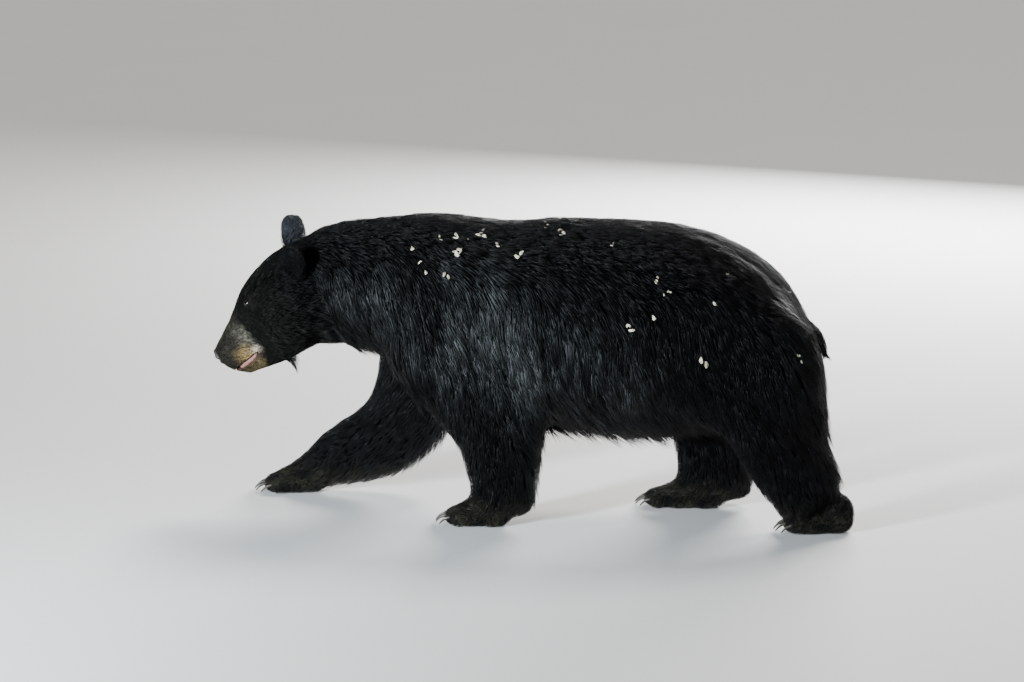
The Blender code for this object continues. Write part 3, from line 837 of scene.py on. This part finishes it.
    def carve_face(self):
        """Cheek folds, the corner of the mouth and the dips before and below the eyes."""
        s, y, t = to_head(self.points).T
        line = mouth_height(s)
        near = (s < 0.25) & on_head(self.points)
        place = (s, np.abs(y), t)
        corner = bell(t, line, 0.004) * fall(0.108, 0.124, s) * (s > 0.095)
        fold = bell(t, line + 0.02 - 0.1 * (s - 0.05), 0.006)
        fold *= rise(0.03, 0.05, s) * fall(0.08, 0.11, s)
        stop = spot(place, (0.128, 0.038, 0.046), (0.02, 0.018, 0.02))
        tear = spot(place, (0.144, 0.052, 0.041), (0.016, 0.014, 0.01))
        cleft = bell(y, 0, 0.0025) * (s < 0.03) * rise(-0.02, -0.03, t) * (t > line)
        dip = 0.0016 * corner + 0.0009 * fold + 0.002 * stop + 0.0014 * tear + 0.0018 * cleft
        self.press(dip * near)

    def paint(self):
        """Colours, where no hair grows, and where the skin is moist."""
        half, off, near = self.mouth_groove()
        lip = fall(half + 0.0004, half + 0.0018, off) * near
        inside = fall(half * 0.35, half * 0.8 + 0.0002, off) * near * (half > 0.0012)
        height, paws = self.points[:, 2], self.mask(*PAWS)
        sole = rise(0.006, 0.003, height) * paws
        pad = fall(0.004, 0.009, height) * paws
        under = rise(0.0004, 0.0018, self.under_nose)
        self.bare = np.clip(np.maximum(lip, under) + sole, 0, 1)
        layers = [(LIP_DARK, lip), (MOUTH_PINK, inside), (PAD_DARK, pad)]
        layers.append((PAD_DARK, rise(0.0001, 0.0008, self.under_nose)))
        for side in EYES:
            x, y, z = in_eye_frame(self.closed, side).T
            ring = eye_openness(x, y) + 9 * ((z < 0) | (np.hypot(x, y) > 0.022))
            layers.append((LID_BLACK, fall(1.45, 1.9, ring)))
            self.bare = np.maximum(self.bare, fall(1.16, 1.32, ring))
        mesh = self.obj.data
        set_field(mesh, "tint", painted(hair_colours(self.outer), *layers))
        set_field(mesh, "wet", np.clip(inside + 0.4 * lip, 0, 1))

    def unwrap(self):
        """Lays the skin out flat; the coat's own maps follow this one."""
        self.obj.data.uv_layers.new(name="OFBake")
        bpy.ops.object.select_all(action="DESELECT")
        self.obj.select_set(True)
        bpy.context.view_layer.objects.active = self.obj
        bpy.ops.object.mode_set(mode="EDIT")
        bpy.ops.mesh.select_all(action="SELECT")
        bpy.ops.uv.smart_project(angle_limit=radians(72), island_margin=0.002)
        bpy.ops.object.mode_set(mode="OBJECT")


# ---------------- coat

TUFTS = 146000  # in the whole coat
RING_PLACES = (0, 0.48)  # of a tuft's two rings of three vertices, along it
RING_WIDTHS = (0.75, 0.92)
TUFT_FACES = ((0, 1, 4, 3), (1, 2, 5, 4), (2, 0, 3, 5), (3, 4, 6), (4, 5, 6), (5, 3, 6), (2, 1, 0))
# Each vertex's place across and along the tuft in its maps
TUFT_MAP = ((-0.42, 0), (0.42, 0), (0, 0.16), (-0.36, 0.5), (0.36, 0.5), (0, 0.66), (0, 1))
TUFT_RISE = 0.17  # a tuft's thickness over its width
TUFT_ROOT_SHADE_TIP_SHEEN = np.linspace(0.75, 1.15, 7)  # painted shade at the root, painted sheen at the tip
ROOT_SUNK = 0.001  # how far a root is below the skin
COAT_FLOOR = 0.0006  # the lowest that a tuft may reach
LOCK = 16  # tufts that draw together, on average
LOCK_PULL = 0.6  # how much of the way their tips go, and their middles of that
MIDDLE_PULL = 0.4
PATCH = 0.003  # side of a tuft's patch in the OFBake map, and that map's margin
MARGIN = 0.003
TRUNK_BANDS = (("shoulders", -9, -0.15), ("ribs", -0.15, 0.1), ("loin", 0.1, 0.36), ("rump", 0.36, 9))


class Coat:
    """All the tufts, as arrays: roots, bent lines, widths, colours and places in the map."""

    def __init__(self, skin):
        self.skin = skin
        self.rng = np.random.default_rng(SEED)
        self.tree = surface_tree(skin.obj.data)
        self.plant()
        self.comb()

    def plant(self):
        """Chooses roots evenly by the density field."""
        skin, mesh = self.skin, self.skin.obj.data
        mesh.calc_loop_triangles()
        corners = rows_of(mesh.loop_triangles, "vertices", 3, np.int32)
        loops = rows_of(mesh.loop_triangles, "loops", 3, np.int32)
        uv = rows_of(mesh.uv_layers["OFBake"].data, "uv", 2).astype(np.float64)
        a, b, c = (skin.points[corners[:, k]] for k in range(3))
        area = 0.5 * np.linalg.norm(np.cross(b - a, c - a), axis=1)
        hope = np.cumsum(area * (skin.density * (1 - skin.bare))[corners].mean(1))
        ticks = (np.arange(TUFTS) + self.rng.uniform(0, 1, TUFTS)) * (hope[-1] / TUFTS)
        chosen = np.searchsorted(hope, np.minimum(ticks, hope[-1] * 0.999999))
        one, two = self.rng.uniform(size=(2, TUFTS))
        flip = one + two > 1
        one[flip], two[flip] = 1 - one[flip], 1 - two[flip]
        self.owner = corners[chosen]
        self.weights = np.column_stack((1 - one - two, one, two))
        self.roots = self.spread(skin.points)
        self.normals = unit(self.spread(skin.normals))
        self.place = (uv[loops[chosen]] * self.weights[:, :, None]).sum(1)
        self.labels = skin.labels[self.owner[:, 0]]

    def spread(self, field):
        """A vertex field read at the roots."""
        weights = self.weights if field.ndim == 1 else self.weights[:, :, None]
        return (field[self.owner] * weights).sum(1)

    def onto_skin(self, points, heights):
        """Points moved to these heights above the skin next to them."""
        found = np.empty((2, len(points), 3))
        for i, point in enumerate(points):
            found[:, i] = self.tree.find_nearest(Vector(point))[:2]
        return found[0] + found[1] * heights[:, None]

    def comb(self):
        """Bends each tuft: up from its root, along the body, and in towards its lock."""
        rng, skin, n = self.rng, self.skin, self.normals
        comb = flat_to(self.spread(skin.comb), n)
        stray = rng.normal(0, 0.11, TUFTS)
        comb = flat_to(comb + np.cross(n, comb) * stray[:, None], n)
        vary = np.exp(rng.normal(0, 0.18, TUFTS))
        clump = 1 + 0.22 * ripple(self.roots, 0.035, 31)
        length = self.spread(skin.length) * np.clip(vary * clump, 0.45, 1.6)
        depth = self.spread(skin.depth)
        free = np.clip(self.spread(skin.free), 0, 0.9)[:, None]
        self.width = self.spread(skin.width) * np.exp(rng.normal(0, 0.18, TUFTS))
        height = depth * rng.uniform(0.75, 1.15, TUFTS) * np.clip(clump, 0.85, 1.15)
        reach = length[:, None]
        laid_tip = self.onto_skin(self.roots + comb * reach, height)
        laid_middle = self.onto_skin(self.roots + comb * reach * 0.45, height * 0.85)
        hang = unit(self.spread(skin.hang) * 0.8 + n * 0.35 + comb * 0.5)
        free_tip = self.roots + hang * reach
        free_middle = self.roots + (hang * 0.6 + comb * 0.2 + n * 0.25) * reach * 0.5
        tip = laid_tip + (free_tip - laid_tip) * free
        middle = laid_middle + (free_middle - laid_middle) * free
        self.gather(middle, tip, length)
        shade = self.lock_shade * np.exp(rng.normal(0, 0.14, TUFTS))
        colours = np.clip(hair_colours(self.roots + n * depth[:, None]), 0, 1)
        self.colours = colours * shade[:, None]

    def gather(self, middle, tip, length):
        """Draws the tips of neighbouring tufts together into locks."""
        leads = self.rng.choice(TUFTS, TUFTS // LOCK, replace=False)
        tree = KDTree(len(leads))
        for i, root in enumerate(self.roots[leads]):
            tree.insert(root, i)
        tree.balance()
        lock = np.array([tree.find(root)[1] for root in self.roots])
        lead = leads[lock]
        gap = np.linalg.norm(self.roots - self.roots[lead], axis=1)
        share = LOCK_PULL * fall(0.5, 1, gap / np.maximum(length * 0.8, 0.004))
        share *= self.rng.uniform(0.55, 1, TUFTS)
        lead_tip = self.roots[lead] + unit(tip[lead] - self.roots[lead]) * length[:, None]
        tip = tip + (lead_tip - tip) * share[:, None]
        middle = middle + (middle[lead] - middle) * (share * MIDDLE_PULL)[:, None]
        self.line = (self.roots - self.normals * ROOT_SUNK, middle, tip)
        self.lock_shade = np.exp(self.rng.normal(0, 0.22, len(leads)))[lock]

    def vertices(self, chosen):
        """Every vertex of the chosen tufts, along a curve through each one's middle."""
        root, middle, tip = (part[chosen] for part in self.line)
        width = self.width[chosen][:, None]
        found = np.empty((len(root), len(TUFT_MAP), 3))
        control = 2 * middle - 0.5 * (root + tip)
        for ring, (u, wide) in enumerate(zip(RING_PLACES, RING_WIDTHS)):
            centre = root * (1 - u) ** 2 + control * 2 * u * (1 - u) + tip * u * u
            along = unit((control - root) * (1 - u) + (tip - control) * u)
            side = unit(np.cross(self.normals[chosen], along))
            found[:, 3 * ring] = centre - side * width * wide / 2
            found[:, 3 * ring + 1] = centre + side * width * wide / 2
            found[:, 3 * ring + 2] = centre + np.cross(along, side) * width * wide * TUFT_RISE
        found[:, -1] = tip
        found[:, :, 2] = np.maximum(found[:, :, 2], COAT_FLOOR)
        return found.reshape(-1, 3)

    def piece(self, name, chosen):
        """One coat piece: the chosen tufts as a mesh, with its maps and colours."""
        tufts = np.arange(len(chosen))[:, None]
        corners = np.concatenate(TUFT_FACES)
        starts = np.cumsum([0] + [len(face) for face in TUFT_FACES[:-1]])
        mesh = bpy.data.meshes.new(name)
        mesh.vertices.add(tufts.size * len(TUFT_MAP))
        mesh.loops.add(tufts.size * len(corners))
        mesh.polygons.add(tufts.size * len(starts))
        fill(mesh.vertices, "co", self.vertices(chosen))
        fill(mesh.loops, "vertex_index", corners + tufts * len(TUFT_MAP), np.int32)
        fill(mesh.polygons, "loop_start", starts + tufts * len(corners), np.int32)
        mesh.update(calc_edges=True)
        mesh.shade_smooth()
        self.add_maps(mesh, chosen, corners)
        # painted shade at each root and painted sheen at each tip
        colours = self.colours[chosen][:, None, :] * TUFT_ROOT_SHADE_TIP_SHEEN[:, None]
        set_field(mesh, "tint", colours.reshape(-1, 3))
        mesh.validate()
        return new_object(name, mesh)

    def add_maps(self, mesh, chosen, corners):
        """OFBake has each tuft as a small patch at its root; strand runs along it."""
        place = self.place[chosen]
        low, high = place.min(0), place.max(0)
        place = MARGIN + (place - low) / (high - low) * (1 - 2 * MARGIN)
        flat = np.array(TUFT_MAP)
        bake = place[:, None, :] + (flat - (0, 0.5)) * PATCH
        strand = flat + (0.5, 0) + self.rng.uniform(0, 50, (len(chosen), 1, 2))
        for name, values in (("OFBake", bake), ("strand", strand)):
            fill(mesh.uv_layers.new(name=name).data, "uv", values[:, corners])


def coat_regions(coat):
    """Splits the tufts into the coat's named pieces."""
    x, y, _ = coat.roots.T
    s = to_head(coat.roots)[:, 0]

    def on(*names):
        return belongs(coat.labels, *names)

    head, body = on("head", "jaw", *EARS), on("trunk", "tail")
    regions = {}
    for side, here in (("left", y < 0), ("right", y >= 0)):
        found = {"face": head & (s < 0.16), "head": head & (s >= 0.16), "neck": on("neck")}
        for band, low, high in TRUNK_BANDS:
            found[band] = body & (x >= low) & (x < high)
        regions.update({f"coat_{name}_{side}": inside & here for name, inside in found.items()})
        for leg in ("foreleg", "hindleg"):
            regions[f"coat_{leg}_{side}"] = on(f"{leg}_{side}")
    regions["coat_forepaws"] = on(*PAWS[:2])
    regions["coat_hindpaws"] = on(*PAWS[2:])
    return {name: np.nonzero(inside)[0] for name, inside in regions.items()}


# ---------------- eyes, nose, mouth, claws, flecks

# How far across the lid's edge each ring of its rim lies, from inside the opening outwards
RIM_PLACES = (-0.0012, -0.0007, -0.0001, 0.0005, 0.0012, 0.002, 0.0029, 0.0039, 0.005)
RIM_TALL = (0.0013, 0.0017)  # of the lower lid and the upper
RIM_CORNERS = 96
CORNEA = 0.8  # its half angle
CLAW_FLOOR = 0.0002


def bridge(made, rings):
    """Quads between closed rings of vertices."""
    for one, two in zip(rings, rings[1:]):
        for i in range(len(one)):
            j = (i + 1) % len(one)
            made.faces.new((one[i], one[j], two[j], two[i]))


def eyeball(side, finish):
    """A ball with a bulging cornea. from_axis is 0 at the pupil's middle and 1 at its equator."""
    made = bmesh.new()
    bmesh.ops.create_uvsphere(made, u_segments=48, v_segments=32, radius=EYE_RADIUS)
    angles = [vertex.co.angle(Vector((0, 0, 1))) for vertex in made.verts]
    for vertex, angle in zip(made.verts, angles):
        vertex.co *= 1 + 0.06 * max(0, 1 - (angle / CORNEA) ** 2)
    made.transform(eye_frame(side))
    obj = from_bmesh("eyeball_" + side, made, True)
    set_field(obj.data, "from_axis", np.minimum(1, np.array(angles) / (pi / 2)))
    finish_piece(obj, finish, "eye", "eye_" + side)


def eyelids(side, finish, tree):
    """The lids' bare rims, which rise off the ball and run out under the skin."""
    place = eye_frame(side)
    look = place.to_3x3() @ Vector((0, 0, 1))
    made = bmesh.new()
    rings = [[] for _ in RIM_PLACES]
    for i in range(RIM_CORNERS):
        angle = tau * i / RIM_CORNERS
        direction = Vector((cos(angle), sin(angle), 0))
        margin = direction * (0.01 / float(eye_openness(direction.x * 0.01, direction.y * 0.01)))
        for ring, across in zip(rings, RIM_PLACES):
            point = margin + direction * across
            ball = sqrt(EYE_RADIUS**2 - min(point.length, EYE_RADIUS * 0.97) ** 2)
            hit = tree.ray_cast(place @ Vector((point.x, point.y, 0.04)), -look)[0]
            skin = (place.inverted() @ hit).z if hit and across >= 0.001 else ball
            lift = RIM_TALL[direction.y > 0] * bell(across, 0.0009, 0.0014)
            point.z = ball + (skin - ball) * rise(-0.0004, 0.0038, across) + lift
            if across == RIM_PLACES[0]:
                point.z = ball - 0.0006
            if across == RIM_PLACES[-1]:
                point.z -= 0.0008
            ring.append(made.verts.new(place @ point))
    bridge(made, rings)
    obj = from_bmesh("eyelids_" + side, made, True)
    modified(obj, "SOLIDIFY", thickness=0.0005, offset=-1)
    finish_piece(obj, finish, "nose_skin")


def nose_pad(finish):
    """The bare nose: two comma-shaped nostrils, a groove down the middle and swollen wings."""
    obj = remeshed("nose_pad", ("nose",), 0.0011, 14, False)
    points, normals = coordinates(obj.data), vertex_normals(obj.data)
    head = surface_tree(cad_mesh("head"))
    rim = np.array([head.find_nearest(Vector(point))[3] for point in points])
    s, y, t = to_head(points).T
    across = np.abs(y)
    out, up, turn = across - 0.0135, t + 0.015, 0.55  # from a nostril's middle, and its slant
    u = out * cos(turn) + up * sin(turn)
    v = up * cos(turn) - out * sin(turn)
    pit = np.exp(-(((u / 0.007) ** 2 + (v / 0.005) ** 2) ** 1.6)) * rise(0.024, 0.014, s)
    slit = bell(across, 0.022, 0.006) * bell(up, 0.5 * (across - 0.0215), 0.0022)
    groove = bell(y, 0, 0.0015) * rise(-0.004, -0.014, t)
    wing = bell(across, 0.017, 0.0075) * bell(t, -0.006, 0.005)
    brow = bell(across, 0, 0.012) * bell(t, 0.001, 0.006)
    depth = 0.0115 * pit + 0.0045 * slit + 0.002 * groove - 0.0018 * wing - 0.001 * brow
    roll = rise(0.0002, 0.006, rim)
    set_coordinates(obj.data, points + normals * (-0.0012 + 0.003 * roll - depth * roll)[:, None])
    # where painted shade goes: the nostrils, their slits and the groove
    set_field(obj.data, "nostril_shade", np.clip(pit + 0.8 * slit + 0.5 * groove, 0, 1))
    obj.data.shade_smooth()
    finish_piece(obj, finish, "nose_skin", "nose")


def tongue(finish, tree):
    """A tongue between the lips, grooved down the middle."""
    front, back, rows, columns = 0.027, 0.097, 44, 28
    made = bmesh.new()
    rings = []
    for u in np.linspace(0, 1, rows + 1):
        s = front + (back - front) * u
        line = mouth_height(s)
        hit = tree.ray_cast(HEAD_PLACE @ Vector((s, -0.1, line)), HEAD_TURN @ Vector((0, 1, 0)))[0]
        lips = abs((TO_HEAD @ hit).y) if hit else 0.03
        tip = sqrt(max(0, 1 - (1 - min(1, u / 0.3)) ** 2))
        end = sqrt(max(0, 1 - max(0, (u - 0.75) / 0.26) ** 2))
        half = max(0.0006, (lips - 0.0012) * tip)
        upper, lower = [], []
        for v in np.linspace(-1, 1, columns + 1):
            edge = max(0, 1 - v**6) ** 0.5 * end
            dip = 0.0014 * bell(v, 0, 0.18) - 0.0004 * sin(s * 260) * abs(v)
            for side, t in ((upper, 0.0066 * edge - dip - 0.0006), (lower, -0.009 * edge - 0.0012)):
                side.append(made.verts.new(HEAD_PLACE @ Vector((s, v * half, line + t))))
        rings.append(upper + lower[::-1])
    bridge(made, rings)
    for ring in (rings[0], rings[-1]):
        for j in range(columns):
            made.faces.new((ring[j], ring[j + 1], ring[-2 - j], ring[-1 - j]))
    finish_piece(from_bmesh("tongue_soft", made, True), finish, "tongue", "tongue")


def claws(finish):
    """Each claw from its CAD solid, rounded and kept off the floor."""
    for name in CLAWS:
        obj = from_bmesh(name.replace("_claw_", "_horn_"), node_bmesh((name,)))
        modified(obj, "SUBSURF", levels=2, render_levels=2)
        points = coordinates(obj.data) + vertex_normals(obj.data) * 0.0005
        points[:, 2] = np.maximum(points[:, 2], CLAW_FLOOR)
        set_coordinates(obj.data, points)
        obj.data.shade_smooth()
        finish_piece(obj, finish, "claw", name)


# Where dry flecks cling on the left side: x, height and size in millimetres
FLECKS = (
    (-280, 670, 7), (-255, 645, 5), (-240, 620, 6), (-185, 620, 6), (-210, 695, 5), (-175, 705, 8),
    (-150, 695, 4), (-165, 680, 8), (-170, 665, 7), (-110, 700, 9), (-75, 685, 5), (-20, 665, 7),
    (35, 718, 5), (70, 707, 8), (200, 695, 4), (345, 715, 4), (310, 615, 6), (325, 585, 5),
    (345, 593, 4), (475, 630, 4), (455, 570, 6), (305, 530, 6), (250, 510, 7), (430, 430, 9),
    (620, 570, 10), (650, 445, 4), (657, 430, 4),
)


def flecks(finish, tree):
    """Dry chips caught in the coat on shoulder, back and rump."""
    rng = np.random.default_rng(SEED + 5)
    made = bmesh.new()
    for row in FLECKS:
        forward, height, size = (value / 1000 for value in row)
        for _ in range(rng.integers(1, 4) + (size > 0.006)):
            off = rng.normal(0, size * 0.7, 2)
            start = Vector((forward + off[0], -1, height + off[1]))
            hit, normal, _, _ = tree.ray_cast(start, Vector((0, 1, 0)))
            if hit is None:
                continue
            turn = normal.to_track_quat("Z", "Y").to_matrix().to_4x4()
            turn = turn @ Matrix.Rotation(rng.uniform(0, tau), 4, "Z")
            turn = turn @ Matrix.Rotation(rng.normal(0, 0.25), 4, "X")
            long = size * rng.uniform(0.75, 1.3)
            place = Matrix.Translation(hit + normal * 0.0024) @ turn
            corners = []
            for k in range(11):
                angle = tau * k / 11 + rng.normal(0, 0.2)
                reach = long * rng.uniform(0.55, 1)
                x, y = cos(angle) * reach, sin(angle) * reach * 0.55
                corners.append(place @ Vector((x, y, rng.normal(0, long * 0.09))))
            add_hull(made, corners)
    finish_piece(from_bmesh("coat_flecks", made), finish, "muzzle")


# ---------------- stage

CAMERA_AIM = Vector((-0.052, 0, 0.425))
CAMERA_AZIMUTH = radians(6)
CAMERA_ELEVATION = radians(12)
CAMERA_DISTANCE = 9
CAMERA_LENS = 130
SUN = {"energy": 2.3, "angle": radians(20), "color": (1, 0.98, 0.94)}
KEY = {"energy": 135, "spread": radians(75), "color": (0.84, 0.93, 1)}
KEY.update(shape="RECTANGLE", size=0.6, size_y=0.9)
RIM = {"energy": 450, "shape": "RECTANGLE", "size": 2.6, "size_y": 0.8}


def aim(obj, place, target):
    obj.location = place
    obj.rotation_euler = (Vector(place) - Vector(target)).to_track_quat("Z", "Y").to_euler()


def add_camera():
    camera = new_object("camera", bpy.data.cameras.new("camera"))
    camera.data.lens = CAMERA_LENS
    flat = cos(CAMERA_ELEVATION)
    back = (sin(CAMERA_AZIMUTH) * flat, -cos(CAMERA_AZIMUTH) * flat, sin(CAMERA_ELEVATION))
    aim(camera, CAMERA_AIM + Vector(back) * CAMERA_DISTANCE, CAMERA_AIM)
    bpy.context.scene.camera = camera


def add_light(name, kind, place, target, **settings):
    light = new_object(name, bpy.data.lights.new(name, kind))
    for key, value in settings.items():
        setattr(light.data, key, value)
    aim(light, place, target)


def add_stage():
    """A dim cool sky, a low sun and a rim light from behind, a key light in front, and a pale floor."""
    world = bpy.data.worlds.new("studio")
    world.use_nodes = True
    background = world.node_tree.nodes["Background"].inputs
    background["Color"].default_value = (0.84, 0.9, 1, 1)
    background["Strength"].default_value = 0.12
    bpy.context.scene.world = world
    add_light("sun", "SUN", (1.2, 2.8, 3.6), (0, 0, 0), **SUN)
    add_light("key", "AREA", (-3, -3.7, 1), (-0.15, 0, 0.46), **KEY)
    add_light("rim", "AREA", (1.4, 4.6, 1.5), (0, 0, 0.4), **RIM)
    made = bmesh.new()
    bmesh.ops.create_grid(made, x_segments=2, y_segments=2, size=30)
    floor = from_bmesh("floor", made)
    floor.data.materials.append(floor_material())


# ---------------- the whole


def build():
    add_camera()
    add_stage()
    skin = Skin()
    skin.paint()
    skin.unwrap()
    mesh = skin.obj.data
    mesh.shade_smooth()
    finish_piece(skin.obj, skin_painted_shade_material(), "coat", *FLESH)
    coat = Coat(skin)
    glossy, dull = hair_material("bear_hair", 0.38, 0.085), hair_material("face_hair", 0.52, 0.05)
    for name, chosen in coat_regions(coat).items():
        hair = dull if name.startswith(("coat_face", "coat_head")) else glossy
        finish_piece(coat.piece(name, chosen), hair, "coat")
    closed = surface_tree(mesh, skin.closed)
    rims = moist_material("bare_rim", (0.0015, 0.0013, 0.0012), (0.004, 0.0035, 0.003), 0.6, 0.05)
    wet_eye = eye_material()
    for side in EYES:
        eyeball(side, wet_eye)
        eyelids(side, rims, closed)
    nose_pad(nose_material())
    pink = moist_material("tongue_wet", (0.145, 0.062, 0.052), (0.255, 0.135, 0.112), 0.48, 0.15)
    tongue(pink, closed)
    claws(claw_material())
    flecks(fleck_material(), surface_tree(mesh, skin.outer))


build()
